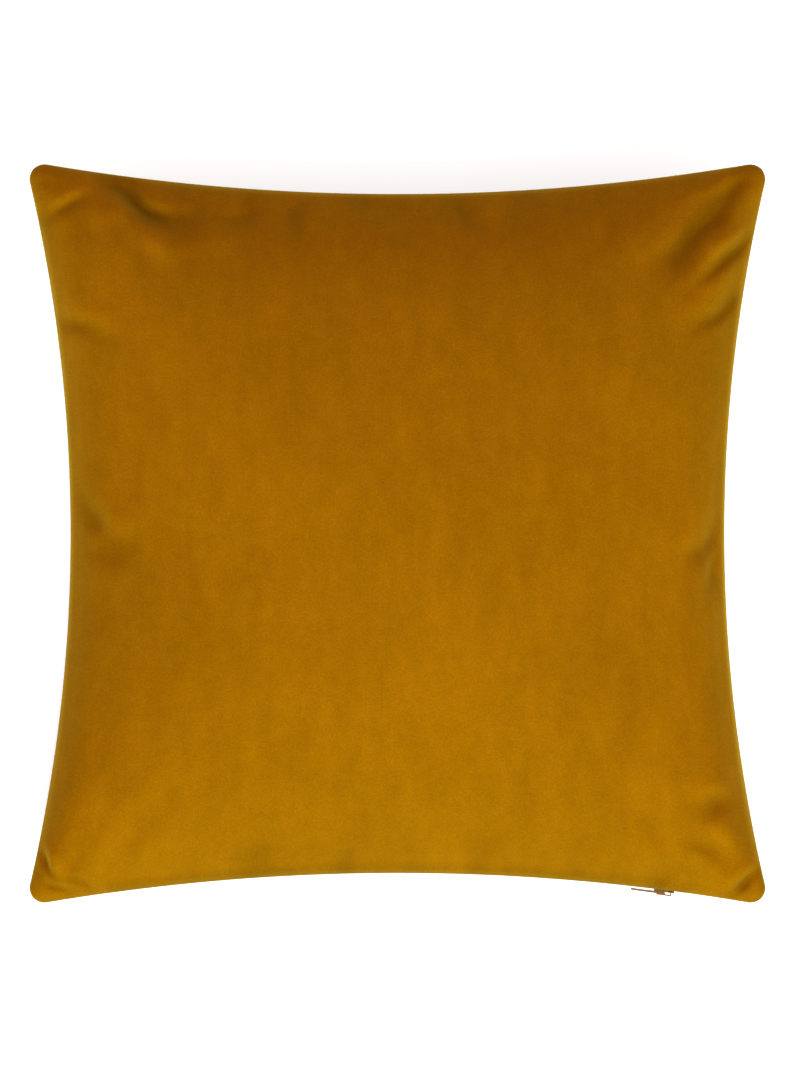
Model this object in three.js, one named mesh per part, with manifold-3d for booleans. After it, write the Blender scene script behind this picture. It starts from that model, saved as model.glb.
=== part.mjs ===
// A square knife-edge throw cushion, lying on its back panel.
// A velvet cover of two panels is sewn round three sides and closed by a concealed zip in the fourth.
// It holds a sewn pad: a two-panel casing full of polyester fibre.
// Frame: millimetres, +Z up, origin on the floor under the middle. +Y points away from the zip edge.
import * as THREE from "three";
import { mergeVertices } from "three/addons/utils/BufferGeometryUtils.js";
import Module from "manifold-3d";

const wasm = await Module();
wasm.setup();

// ---- Driving dimensions of the filled cushion
const CORNER_SPAN = 445; // between the sharp corners that the seams would meet at, before rounding
const CORNER_RADIUS = 9;
const SIDE_PULL_IN = 27.5; // how far the middle of each side seam bows in from that square
const END_PULL_IN = 20; // the same for the zip edge and the top seam
const SEAM_HEIGHT = 58; // floor to the plane of the seam
const FRONT_CROWN = 84; // seam plane to the top of the front panel
const BACK_CROWN = 72; // how deep the back panel would hang if the floor didn't flatten it
const CROWN_POWER = 0.55; // under 1 makes the flanks steep and the middle flat

// ---- Cover
const VELVET = 1.2; // thickness of one layer
const SEAM_GAP = 0.3; // between the two panels' edges
const CLEARANCE = 0.5; // between a piece and what it lies on
const SEAM_THREAD = 0.8; // side of the lockstitch seam's bead

// ---- Zip, measured along its curve (s), into the cushion from the edge (depth) and up from the seam plane
const ZIP_TO_CORNER = 52.5; // from the outer end of each stop to the corner
const SLOT_PAST_ZIP = 4; // how far the slot between the panels runs past each stop
const TAPE = 0.6;
const COIL_THICK = 2;
const COIL_WIDTH = 2.2;
const STOP_LENGTH = 3;
const STITCH = 0.5;
const STITCH_PAST_SLIDER = 1.4; // from the slider's side to the stitches that hold the tape

// ---- Slider and pull
const SLIDER_LENGTH = 12;
const SLIDER_WALL = 1;
const SLIDER_SHOULDER = 2; // how much the nose narrows
const POST_WIDTH = 1.2;
const POST_LENGTH = 3;
const POST_FROM_NOSE = 0.5;
const RUNNING_GAP = 0.4; // between the slider and the coils, stops and panels
const BRIDGE_WIDTH = 4.6; // of the plate outside the slot, between the post and the bail
const BRIDGE_THICK = 0.8;
const BAIL_LENGTH = 9;
const BAIL_WIDTH = 1.6;
const BAIL_BAR = 0.7;
const PULL_LENGTH = 20; // from the hinge to the rounded tip
const PULL_WIDTH = 5;
const PULL_THICK = 0.8;
const PULL_PLAY = 0.3; // above and below the pull's end bar, under the bail
const PULL_TIP_RADIUS = 1.8;
const PULL_HOLE_RADIUS = 0.8;

// ---- Pad and labels
const PAD_PAST_SLIDER = 1.2; // from the slider's inner plate to the pad's edge
const PAD_CLEARANCE = 0.6; // between the pad and the cover over the crown
const CASING = 0.5;
const PAD_THREAD = 0.7;
const LABEL_THICK = 0.4;
const COVER_LABEL_WIDTH = 30;
const PAD_LABEL_WIDTH = 24;
const LABEL_FROM_MIDDLE = 60; // along the side seam, towards the zip

// ---- Mesh steps
const HALF_SIDE_STEPS = 7;
const CORNER_STEPS = 3;
const RINGS = 9; // from the middle of a panel to its edge
const ZIP_STEPS = 24;

// ---- Sizes that follow from these
const halfSpan = CORNER_SPAN / 2;
const halfWidth = halfSpan - SIDE_PULL_IN;
const halfLength = halfSpan - END_PULL_IN;
const bowRadius = (pullIn) => (halfSpan ** 2 + pullIn ** 2) / (2 * pullIn);
const sideBow = bowRadius(SIDE_PULL_IN);
const endBow = bowRadius(END_PULL_IN);
const zipCentreY = -(halfLength + endBow); // centre of the arc that the zip lies on
const zipEnd = halfSpan - ZIP_TO_CORNER; // s at the outer end of a stop
const slotEnd = zipEnd + SLOT_PAST_ZIP;
const zipSlot = POST_WIDTH + 2 * RUNNING_GAP; // height of the gap between the panels' edges
const folded = 2 * VELVET; // a panel and its turned allowance together
const tapeOuter = folded + CLEARANCE;
const tapeInner = tapeOuter + TAPE;
const raw = 1 - 1 / RINGS; // ring share at which the seam allowances end
const coilNear = POST_WIDTH / 2 + RUNNING_GAP; // height of a coil's near side above the seam plane
const coilFar = coilNear + COIL_WIDTH;
const sliderHalfWidth = coilFar + RUNNING_GAP + SLIDER_WALL;
const coilDepth = tapeInner + tapeLean(sliderHalfWidth);
const coilCentre = endBow + coilDepth + COIL_THICK / 2; // radius that s is measured on
const sliderFloor = coilDepth + COIL_THICK + RUNNING_GAP; // depth of the inner plate's near face
const sliderDepth = sliderFloor + SLIDER_WALL;
const sliderRest = zipEnd - STOP_LENGTH - RUNNING_GAP - SLIDER_LENGTH / 2; // s, when the zip is shut
const stitchHeight = sliderHalfWidth + STITCH_PAST_SLIDER;
const bailWindow = PULL_THICK + 2 * PULL_PLAY; // clear height under the bail
const bridgeTop = -RUNNING_GAP - BRIDGE_THICK; // depth of the bridge's outer face
const pullAxis = bridgeTop - bailWindow / 2;
const padInset = sliderDepth + PAD_PAST_SLIDER; // from the cover's edge to the pad's edge

// How far the tapes lean into the cushion over a height, at the zip's ends, where the panels are shallowest
function tapeLean(height) {
  const y = halfLength + endBow - Math.sqrt(endBow ** 2 - zipEnd ** 2);
  const allowance = Math.min(FRONT_CROWN, BACK_CROWN) * fullness({ x: zipEnd, y }, ringScale(raw));
  return (y * (1 - ringScale(raw)) * height) / allowance;
}

// ---- Materials
const cloth = (color, roughness) => new THREE.MeshStandardMaterial({ color, roughness, metalness: 0 });
const velvet = cloth(0xa06204, 0.85);
const thread = cloth(0x8a5a10, 0.7);
const tapeCloth = cloth(0x96620f, 0.8);
const coilNylon = cloth(0x9a6510, 0.4);
const casingCloth = cloth(0xf0eee8, 0.9);
const padThread = cloth(0xfafafa, 0.7);
const fibre = cloth(0xf7f6f2, 1);
const labelSatin = cloth(0xf4f2ec, 0.5);
const zipMetal = new THREE.MeshStandardMaterial({ color: 0x8d6420, roughness: 0.35, metalness: 1 });

// ---- Meshes from rings of points
function volumeOf(positions, index) {
  const [a, b, c] = [new THREE.Vector3(), new THREE.Vector3(), new THREE.Vector3()];
  let sum = 0;
  for (let i = 0; i < index.length; i += 3) {
    [a, b, c].forEach((v, k) => v.fromArray(positions, 3 * index[i + k]));
    sum += a.dot(b.cross(c));
  }
  return sum / 6;
}

// Joins each ring to the next. A ring of one point is a pole. A loop joins the last ring to the first;
// otherwise an end ring of more points is closed by a fan, so it has to be convex.
function skin(rings, loop = false) {
  const positions = rings.flat().flatMap((p) => p.toArray());
  const start = [];
  rings.reduce((at, ring) => (start.push(at), at + ring.length), 0);
  const index = [];
  const pairs = rings.length - (loop ? 0 : 1);
  for (let k = 0; k < pairs; k++) {
    const next = (k + 1) % rings.length;
    const [n, m] = [rings[k].length, rings[next].length];
    for (let i = 0; i < Math.max(n, m); i++) {
      const [a, b] = [start[k] + (i % n), start[k] + ((i + 1) % n)];
      const [c, d] = [start[next] + (i % m), start[next] + ((i + 1) % m)];
      if (m > 1) index.push(a, d, c);
      if (n > 1) index.push(a, b, d);
    }
  }
  if (!loop) {
    const [first, last] = [rings[0].length, rings.at(-1).length];
    for (let i = 2; i < first; i++) index.push(start[0], start[0] + i, start[0] + i - 1);
    for (let i = 2; i < last; i++) index.push(start.at(-1), start.at(-1) + i - 1, start.at(-1) + i);
  }
  if (volumeOf(positions, index) < 0) index.reverse();
  return new THREE.BufferGeometry()
    .setAttribute("position", new THREE.Float32BufferAttribute(positions, 3))
    .setIndex(index);
}

// ---- Booleans
function solidOf(geometry) {
  const bare = geometry.clone();
  for (const name of ["normal", "uv"]) bare.deleteAttribute(name);
  const merged = mergeVertices(bare, 1e-3);
  return new wasm.Manifold(
    new wasm.Mesh({
      numProp: 3,
      vertProperties: merged.attributes.position.array,
      triVerts: new Uint32Array(merged.index.array),
    }),
  );
}

function geometryOf(solid) {
  const { vertProperties, triVerts, numProp } = solid.getMesh();
  const positions = [];
  for (let i = 0; i < vertProperties.length; i += numProp) positions.push(...vertProperties.slice(i, i + 3));
  return new THREE.BufferGeometry()
    .setAttribute("position", new THREE.Float32BufferAttribute(positions, 3))
    .setIndex([...triVerts]);
}

const joined = (...geometries) => geometryOf(geometries.map(solidOf).reduce((a, b) => a.add(b)));
const cut = (geometry, tool) => geometryOf(solidOf(geometry).subtract(solidOf(tool)));

function box([x0, x1], [y0, y1], [z0, z1]) {
  const middle = [x0 + x1, y0 + y1, z0 + z1].map((sum) => sum / 2);
  return new THREE.BoxGeometry(x1 - x0, y1 - y0, z1 - z0).translate(...middle);
}

// ---- The cushion's outline in plan, moved in by inset: four bowed sides and four rounded corners.
// It runs anticlockwise from the middle of the zip edge.
function outline(inset) {
  const side = { at: halfWidth + sideBow, r: sideBow + inset };
  const end = { at: halfLength + endBow, r: endBow + inset };
  // The corner's centre is a corner radius from both bows, so it lies where two larger circles cross.
  const [p, q] = [side.r + CORNER_RADIUS, end.r + CORNER_RADIUS];
  const apart = Math.hypot(side.at, end.at);
  const along = (p ** 2 - q ** 2 + apart ** 2) / (2 * apart);
  const off = Math.sqrt(p ** 2 - along ** 2);
  const x = side.at - (along * side.at + off * end.at) / apart;
  const y = (along * end.at - off * side.at) / apart;
  const lean = Math.atan2(y, side.at - x);
  const tilt = Math.atan2(x, end.at - y);
  const up = Math.PI / 2;
  const arc = (centre, r, from, to, clockwise, steps) =>
    new THREE.ArcCurve(...centre, r, from, to, clockwise).getPoints(steps).slice(0, -1);
  const half = [
    ...arc([0, -end.at], end.r, up, up - tilt, true, HALF_SIDE_STEPS),
    ...arc([x, -y], CORNER_RADIUS, -up - tilt, lean, false, CORNER_STEPS),
    ...arc([side.at, 0], side.r, Math.PI + lean, Math.PI - lean, true, 2 * HALF_SIDE_STEPS),
    ...arc([x, y], CORNER_RADIUS, -lean, up + tilt, false, CORNER_STEPS),
    ...arc([0, end.at], end.r, -up + tilt, -up, true, HALF_SIDE_STEPS),
  ];
  return [...half, ...half.map((v) => v.clone().negate())];
}

// ---- The cushion's skin. A point on it has a place on the outline, a ring share (0 at the panel's middle,
// 1 at its edge) and a wall, which says how far it lies inside the cover's outer face: inset at the edge
// and drop at the crown.
const front = { up: 1, crown: FRONT_CROWN, limit: Infinity };
const back = { up: -1, crown: BACK_CROWN, limit: SEAM_HEIGHT - SEAM_GAP / 2 };
const inCover = (deep) => ({ inset: deep, drop: deep });
const inPad = (deep) => ({ inset: padInset + deep, drop: VELVET + PAD_CLEARANCE + deep });

// A ring's size as a share of the outline
function ringScale(share) {
  return Math.sin((share * Math.PI) / 2);
}

// How full a panel stands at a place, from 0 at the edge to 1 at the middle
function fullness(edge, scale) {
  const room = (x, y) => {
    const width = halfWidth + sideBow - Math.sqrt(sideBow ** 2 - y ** 2);
    const length = halfLength + endBow - Math.sqrt(endBow ** 2 - x ** 2);
    return Math.max(0, 1 - (x / width) ** 2) * Math.max(0, 1 - (y / length) ** 2);
  };
  const open = room(edge.x * scale, edge.y * scale) - room(edge.x, edge.y) * scale ** 4;
  return Math.max(0, open) ** CROWN_POWER;
}

// insetEdge is the same place on the outline that the wall's inset gives.
function pointOn(panel, edge, insetEdge, share, drop) {
  const scale = ringScale(share);
  const plan = edge.clone().lerp(insetEdge, scale ** 6).multiplyScalar(scale);
  // Between two rings the skin is straight, so that whatever lies on it is parallel to the panel's facets.
  const ring = Math.min(Math.floor(share * RINGS + 1e-9), RINGS - 1);
  const [near, far] = [ringScale(ring / RINGS), ringScale((ring + 1) / RINGS)];
  const full = THREE.MathUtils.mapLinear(scale, near, far, fullness(edge, near), fullness(edge, far));
  const height = Math.min((panel.crown - drop) * full, panel.limit - drop);
  return new THREE.Vector3(plan.x, plan.y, SEAM_HEIGHT + panel.up * (SEAM_GAP / 2 + height));
}

const coverEdge = outline(0);

// One ring of a panel's skin, or the pole at its middle
function ringOf(panel, share, { inset, drop }) {
  if (share === 0) return [pointOn(panel, coverEdge[0], coverEdge[0], 0, drop)];
  const insetEdge = outline(inset);
  return coverEdge.map((edge, i) => pointOn(panel, edge, insetEdge[i], share, drop));
}

const shares = Array.from({ length: RINGS + 1 }, (_, i) => i / RINGS);

// A panel that is one layer thick, and two in the allowance that is turned in at its edge.
// wallAt gives the wall that lies deep inside the panel's outer face.
function panelShell(panel, wallAt, layer) {
  const base = SEAM_HEIGHT + (panel.up * SEAM_GAP) / 2;
  const under = base - panel.up;
  const outside = shares.map((share) => ringOf(panel, share, wallAt(0)));
  const inside = shares.slice(0, -1).map((share) => ringOf(panel, share, wallAt(layer)));
  const hem = [raw, 1].map((share) => ringOf(panel, share, wallAt(2 * layer)));
  const mouth = hem[1].map((p) => new THREE.Vector3(p.x, p.y, under));
  return cut(
    skin([...outside, [new THREE.Vector3(0, 0, base)]]),
    skin([...inside, ...hem, mouth, [new THREE.Vector3(0, 0, under)]]),
  );
}

// ---- Places along the zip edge and along the left side seam, each with the direction into the cushion
function placeOn(centre, radius, inward) {
  const edge = centre.clone().add(inward.clone().multiplyScalar(radius));
  return Object.assign(edge, { inward });
}

const zipAngle = (s) => s / coilCentre;

function zipPlace(s) {
  const inward = new THREE.Vector2(Math.sin(zipAngle(s)), Math.cos(zipAngle(s)));
  return placeOn(new THREE.Vector2(0, zipCentreY), endBow, inward);
}

function sidePlace(y) {
  const inward = new THREE.Vector2(Math.sqrt(1 - (y / sideBow) ** 2), y / sideBow);
  return placeOn(new THREE.Vector2(-halfWidth - sideBow, 0), sideBow, inward);
}

function onPanel(panel, place, share, { inset, drop }) {
  const insetPlace = place.clone().add(place.inward.clone().multiplyScalar(inset));
  return pointOn(panel, place, insetPlace, share, drop);
}

const zipStations = Array.from({ length: ZIP_STEPS + 1 }, (_, i) => zipEnd * ((2 * i) / ZIP_STEPS - 1));

// A bar that follows the zip's arc, between two depths, two values of s and two heights from the seam plane
function zipBar([depthA, depthB], [sA, sB], [low, high]) {
  const [from, to] = [sA, sB].map((s) => Math.PI / 2 - zipAngle(s));
  const shape = new THREE.Shape()
    .absarc(0, zipCentreY, endBow + depthA, from, to, true)
    .absarc(0, zipCentreY, endBow + depthB, to, from, false);
  const curveSegments = Math.max(2, Math.ceil((ZIP_STEPS * (sB - sA)) / (2 * zipEnd)));
  const bar = new THREE.ExtrudeGeometry(shape, { depth: high - low, bevelEnabled: false, curveSegments });
  return bar.translate(0, 0, SEAM_HEIGHT + low);
}

const slot = () => zipBar([-1, tapeInner + 1], [-slotEnd, slotEnd], [-zipSlot / 2, zipSlot / 2]);

// ---- Sub-parts
const coverPanel = (panel) => cut(panelShell(panel, inCover, VELVET), slot());
const casingPanel = (panel) => panelShell(panel, inPad, CASING);

function fibreFill() {
  const wall = inPad(CASING + CLEARANCE);
  wall.inset = padInset + 2 * CASING + PAD_THREAD + 2 * CLEARANCE;
  const half = (panel) => {
    const rings = shares.map((share) => ringOf(panel, share, wall));
    const waist = rings.at(-1).map((p) => new THREE.Vector3(p.x, p.y, SEAM_HEIGHT));
    return skin([...rings, waist, [new THREE.Vector3(0, 0, SEAM_HEIGHT)]]);
  };
  return joined(half(front), half(back));
}

// The line of stitches that joins two panels, just inside their folds.
// With a gap, it stops short of the zip edge's middle by that much on each side.
function seamBead(inset, size, gap = 0) {
  const far = outline(inset + size);
  const section = (near, i) =>
    [near, near, far[i], far[i]].map((p, k) => {
      const height = k === 0 || k === 3 ? -size / 2 : size / 2;
      return new THREE.Vector3(p.x, p.y, SEAM_HEIGHT + height);
    });
  const sections = outline(inset).map(section);
  if (!gap) return skin(sections, true);
  return skin(sections.filter(([p]) => p.y > 0 || Math.abs(p.x) > gap));
}

// A strip on the inside of a panel along the zip: sections of four corners, near and far on each wall
function zipStrip(panel, shareRange, wallRange) {
  return skin(
    zipStations.map(zipPlace).map((place) => {
      const [near, far] = shareRange(place);
      const at = (share, wall) => onPanel(panel, place, share, inCover(wall));
      return [
        at(near, wallRange[0]),
        at(far, wallRange[0]),
        at(far, wallRange[1]),
        at(near, wallRange[1]),
      ];
    }),
  );
}

const zipTape = (panel) => cut(zipStrip(panel, () => [1, raw], [tapeOuter, tapeInner]), slot());

function zipStitch(panel) {
  // The allowance is straight from the edge to its raw edge, so a height on it gives a share.
  const shareAt = (place, height) => {
    const allowance = panel.crown * fullness(place, ringScale(raw));
    const scale = THREE.MathUtils.mapLinear(height, 0, allowance, 1, ringScale(raw));
    return (2 * Math.asin(scale)) / Math.PI;
  };
  const line = (place) => [shareAt(place, stitchHeight), shareAt(place, stitchHeight + STITCH)];
  const nearWall = tapeInner + CLEARANCE;
  return zipStrip(panel, line, [nearWall, nearWall + STITCH]);
}

const coilRange = [-zipEnd + STOP_LENGTH + RUNNING_GAP, sliderRest];
const coilDepths = [coilDepth, coilDepth + COIL_THICK];
const coilHeights = ({ up }) => [coilNear * up, coilFar * up].sort((a, b) => a - b);
const zipCoil = (panel) => zipBar(coilDepths, coilRange, coilHeights(panel));
const topStop = (panel) => zipBar(coilDepths, [zipEnd - STOP_LENGTH, zipEnd], coilHeights(panel));
const bottomStop = () => zipBar(coilDepths, [-zipEnd, -zipEnd + STOP_LENGTH], [-coilFar, coilFar]);

// The slider, in its own frame: x along the zip towards its shut end, y into the cushion, z up.
// A C-shaped body holds both coils from inside. Its post comes out through the slot to the bridge and bail.
function slider() {
  const [half, wide] = [SLIDER_LENGTH / 2, sliderHalfWidth];
  const channel = wide - SLIDER_WALL;
  const mouth = coilDepth + RUNNING_GAP;
  const outlineShape = new THREE.Shape()
    .moveTo(-half, -wide)
    .lineTo(half - SLIDER_SHOULDER, -wide)
    .lineTo(half, -wide + SLIDER_SHOULDER)
    .lineTo(half, wide - SLIDER_SHOULDER)
    .lineTo(half - SLIDER_SHOULDER, wide)
    .lineTo(-half, wide);
  const block = new THREE.ExtrudeGeometry(outlineShape, { depth: sliderDepth - mouth, bevelEnabled: false })
    .rotateX(-Math.PI / 2)
    .translate(0, mouth, 0);
  const body = cut(block, box([-half - 1, half + 1], [mouth - 1, sliderFloor], [-channel, channel]));
  const nose = half - POST_FROM_NOSE;
  const post = box(
    [nose - POST_LENGTH, nose],
    [bridgeTop / 2, sliderFloor + SLIDER_WALL / 2],
    [-POST_WIDTH / 2, POST_WIDTH / 2],
  );
  const bridge = box([-half, half], [bridgeTop, -RUNNING_GAP], [-BRIDGE_WIDTH / 2, BRIDGE_WIDTH / 2]);
  return joined(body, post, bridge, bail());
}

function bail() {
  const half = BAIL_LENGTH / 2;
  const top = bridgeTop - bailWindow - BAIL_BAR;
  const block = box([-half, half], [top, bridgeTop + BRIDGE_THICK / 2], [-BAIL_WIDTH / 2, BAIL_WIDTH / 2]);
  const inside = half - BAIL_BAR;
  const window = box([-inside, inside], [top + BAIL_BAR, bridgeTop], [-BAIL_WIDTH, BAIL_WIDTH]);
  return cut(block, window);
}

// The pull, about its hinge: a flat tab that tapers to a rounded tip. Its end bar lies under the bail.
function pull() {
  const half = PULL_WIDTH / 2;
  const bar = PULL_THICK / 2;
  const arm = BAIL_WIDTH / 2 + CLEARANCE;
  const windowEnd = -BAIL_LENGTH / 2 - 1;
  const tip = -PULL_LENGTH + PULL_TIP_RADIUS;
  const blade = new THREE.Shape()
    .moveTo(bar, -half)
    .lineTo(bar, half)
    .lineTo(windowEnd - 1, half)
    .absarc(tip, 0, PULL_TIP_RADIUS, Math.PI / 2, (3 * Math.PI) / 2, false)
    .lineTo(windowEnd - 1, -half);
  const window = new THREE.Path()
    .moveTo(-bar, -arm)
    .lineTo(windowEnd, -arm)
    .lineTo(windowEnd, arm)
    .lineTo(-bar, arm);
  blade.holes.push(window, new THREE.Path().absarc(tip, 0, PULL_HOLE_RADIUS, 0, 2 * Math.PI));
  return new THREE.ExtrudeGeometry(blade, { depth: PULL_THICK, bevelEnabled: false, curveSegments: 8 })
    .translate(0, 0, -bar)
    .rotateX(-Math.PI / 2);
}

// A satin label caught in the left side seam, lying against the back panel between two walls
function label(width, stations, nearWall, farWall) {
  const [upper, lower] = [sidePlace(-LABEL_FROM_MIDDLE), sidePlace(-LABEL_FROM_MIDDLE - width)];
  return skin(
    stations.map((share) => [
      onPanel(back, upper, share, nearWall),
      onPanel(back, lower, share, nearWall),
      onPanel(back, lower, share, farWall),
      onPanel(back, upper, share, farWall),
    ]),
  );
}

const pastSeam = 1 - 0.4 / RINGS; // ring share just inside the seam's stitches

function coverLabel() {
  const nearWall = folded + CLEARANCE;
  const stations = [pastSeam, raw, raw - 1 / RINGS, raw - 2 / RINGS];
  return label(COVER_LABEL_WIDTH, stations, inCover(nearWall), inCover(nearWall + LABEL_THICK));
}

const padLabel = () =>
  label(PAD_LABEL_WIDTH, [1, raw, raw - 1 / RINGS], inPad(-CLEARANCE - LABEL_THICK), inPad(-CLEARANCE));

// ---- The assembly
const cushion = new THREE.Group();

function add(name, geometry, material, parent = cushion) {
  const mesh = new THREE.Mesh(geometry, material);
  mesh.name = name;
  parent.add(mesh);
  return mesh;
}

for (const [name, panel] of Object.entries({ front, back })) {
  add(`cover_${name}`, coverPanel(panel), velvet);
  add(`zip_tape_${name}`, zipTape(panel), tapeCloth);
  add(`zip_stitching_${name}`, zipStitch(panel), thread);
  add(`zip_coil_${name}`, zipCoil(panel), coilNylon);
  add(`zip_top_stop_${name}`, topStop(panel), zipMetal);
  add(`pad_casing_${name}`, casingPanel(panel), casingCloth);
}
add("zip_bottom_stop", bottomStop(), zipMetal);
add("cover_seam_thread", seamBead(folded + 2 * CLEARANCE, SEAM_THREAD, slotEnd), thread);
add("cover_care_label", coverLabel(), labelSatin);
add("pad_seam_thread", seamBead(padInset + 2 * CASING + CLEARANCE, PAD_THREAD), padThread);
add("pad_care_label", padLabel(), labelSatin);
add("pad_fibre_fill", fibreFill(), fibre);

const sliderFrame = new THREE.Group();
sliderFrame.position.set(zipPlace(sliderRest).x, zipPlace(sliderRest).y, SEAM_HEIGHT);
sliderFrame.rotation.z = -zipAngle(sliderRest);
add("zip_slider", slider(), zipMetal, sliderFrame);
add("zip_pull", pull(), zipMetal, sliderFrame).position.y = pullAxis;
cushion.add(sliderFrame);

export default cushion;
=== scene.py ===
import math

import bpy
import numpy as np
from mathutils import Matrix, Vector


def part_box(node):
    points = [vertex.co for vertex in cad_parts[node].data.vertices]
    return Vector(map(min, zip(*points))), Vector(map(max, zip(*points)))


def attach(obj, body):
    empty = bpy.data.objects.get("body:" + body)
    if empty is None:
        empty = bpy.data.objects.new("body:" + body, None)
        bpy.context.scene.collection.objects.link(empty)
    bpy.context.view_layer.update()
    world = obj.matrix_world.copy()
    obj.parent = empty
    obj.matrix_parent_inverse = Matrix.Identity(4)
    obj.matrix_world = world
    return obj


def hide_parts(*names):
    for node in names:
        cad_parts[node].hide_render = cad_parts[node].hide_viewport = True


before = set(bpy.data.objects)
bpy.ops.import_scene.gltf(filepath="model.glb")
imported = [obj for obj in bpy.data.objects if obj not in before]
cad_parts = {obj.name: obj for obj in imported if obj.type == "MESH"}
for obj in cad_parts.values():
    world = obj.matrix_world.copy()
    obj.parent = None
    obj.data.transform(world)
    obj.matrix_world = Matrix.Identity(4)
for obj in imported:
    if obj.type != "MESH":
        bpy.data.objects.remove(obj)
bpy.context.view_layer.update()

# ---- The cushion in plan: four bowed sides and four rounded corners
CORNER_SPAN = 0.445
CORNER_RADIUS = 0.009
SIDE_PULL_IN = 0.0275
END_PULL_IN = 0.020

# ---- The cloth
SEWN_SIDE = 0.442          # a panel's side between its seams, before the pad fills it
VELVET = 0.0012
CASING = 0.0005
CASING_SIDE = 0.424
PAD_INSET = 0.0107         # from the cover's edge to the pad's seam
PAD_DROP = 0.0022          # from the cover's outer face to the pad's
PAD_SEAM_POWER = 24        # the higher, the closer to its seam the pad stays full
FILL_INSET = 0.002         # from the pad's seam to the fibre
FILL_CLEARANCE = 0.0003
FIBRE_CLUMP = 0.0004
SEAM_GAP = 0.00015         # how far each panel's inner edge stands from the seam plane
FLOOR_BLEND = 0.004        # over this height the back panel turns to lie on the floor
SIM_LINES = 76
START_BULGE = 0.003        # how far the flat panel bulges at first, so that the air lifts it the right way
DRAW_IN_FRAMES = 15
LAST_FRAME = 44
SIDEWAYS = 0.20            # the share kept of the cloth's sideways moves, so that no fin stands at the seam
FULLNESS = 0.86            # the power that heights are raised to: below 1 fills the panel out near its seams
FIRST_LINE = 0.56          # the least that the cloth's first line stands at, as a share of its second line
LUMP = 0.0007              # how far the fibre's clumps push the cover out or let it sink

# ---- The seam's edge: the panel rises steeply from its fold, as the pad pushes it out. Each fold lists
# how far in from the edge, and how far from the seam plane, its points are.
EDGE_RISE = 0.0065
EDGE_FADE = 0.006          # how far in from the seam most of that rise has happened
SEAM_FOLD = ((0.0002, 0.0008), (0.0006, 0.0004), (0.0012, SEAM_GAP), (0.0035, SEAM_GAP), (0.0080, SEAM_GAP))
ZIP_FOLD = ((0.0003, 0.0011), (0.0012, 0.0008), (0.0021, 0.0011), (0.0024, 0.0020), (0.0030, 0.0065))
SEAM_LIP = 0.00135
ZIP_LIP = 0.0020
LIP_REACH = 0.010          # how far into the panel its lip's height is felt
ZIP_FADE = 0.006           # over this length past the zip, its lips close to a seam

# ---- Mesh
ARC_POINTS = 200
COVER_LINES = 211
PAD_LINES = 141
EDGE_CROWDING = 0.6        # 0 spaces the mesh lines evenly, and towards 1 they crowd to the edges

FRONT_CLOTH = {"pressure": 8, "tension": 15, "shear": 0.3, "compression": 5, "bending": 3}
BACK_CLOTH = {"pressure": 12, "tension": 10, "shear": 0.2, "compression": 2, "bending": 8}


def span(node):
    """A CAD node's lowest and highest corner."""
    low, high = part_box(node)
    return np.array(low), np.array(high)


SEAM_Z = (span("cover_front")[0][2] + span("cover_back")[1][2]) / 2
FRONT_CROWN = span("cover_front")[1][2] - SEAM_Z
BACK_CROWN = 0.072         # before the floor flattens it
ZIP_END = span("zip_tape_front")[1][0] + ZIP_FADE / 2


# ---- Outline
def bow_radius(pull_in):
    """The radius of a side's bow, from how far its middle is pulled in."""
    half = CORNER_SPAN / 2
    return (half ** 2 + pull_in ** 2) / (2 * pull_in)


def arc(centre, radius, start, end):
    angle = np.linspace(start, end, ARC_POINTS)
    return np.column_stack([centre[0] + radius * np.cos(angle), centre[1] + radius * np.sin(angle)])


def quarter_outline():
    """The seam from the middle of the +X side to the corner's middle, and on to the middle of the +Y side."""
    side_bow = bow_radius(SIDE_PULL_IN)
    end_bow = bow_radius(END_PULL_IN)
    side_centre = CORNER_SPAN / 2 - SIDE_PULL_IN + side_bow
    end_centre = CORNER_SPAN / 2 - END_PULL_IN + end_bow
    to_side = side_bow + CORNER_RADIUS
    to_end = end_bow + CORNER_RADIUS
    apart = math.hypot(side_centre, end_centre)
    along = (to_side ** 2 - to_end ** 2 + apart ** 2) / (2 * apart)
    off = math.sqrt(to_side ** 2 - along ** 2)
    corner_x = side_centre - (along * side_centre + off * end_centre) / apart
    corner_y = (along * end_centre - off * side_centre) / apart
    lean = math.atan2(corner_y, side_centre - corner_x)
    tilt = math.atan2(corner_x, end_centre - corner_y)
    side = arc((side_centre, 0), side_bow, math.pi, math.pi - lean)
    corner = arc((corner_x, corner_y), CORNER_RADIUS, -lean, math.pi / 2 + tilt)
    end = arc((0, end_centre), end_bow, tilt - math.pi / 2, -math.pi / 2)
    half = len(corner) // 2
    return np.vstack([side, corner[1:half]]), np.vstack([corner[half - 1:], end[1:]])


def along_side(points, lines, mirror):
    """Points on a whole side. points run from its middle to a corner, lines are from 0 to 1 along it, and
    mirror flips the half past the middle."""
    steps = np.linalg.norm(np.diff(points, axis=0), axis=1)
    length = np.concatenate([[0], np.cumsum(steps)])
    place = np.abs(2 * lines - 1) * length[-1]
    side = np.column_stack([np.interp(place, length, points[:, i]) for i in range(2)])
    return np.where((2 * lines < 1)[:, None], side * mirror, side)


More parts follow.
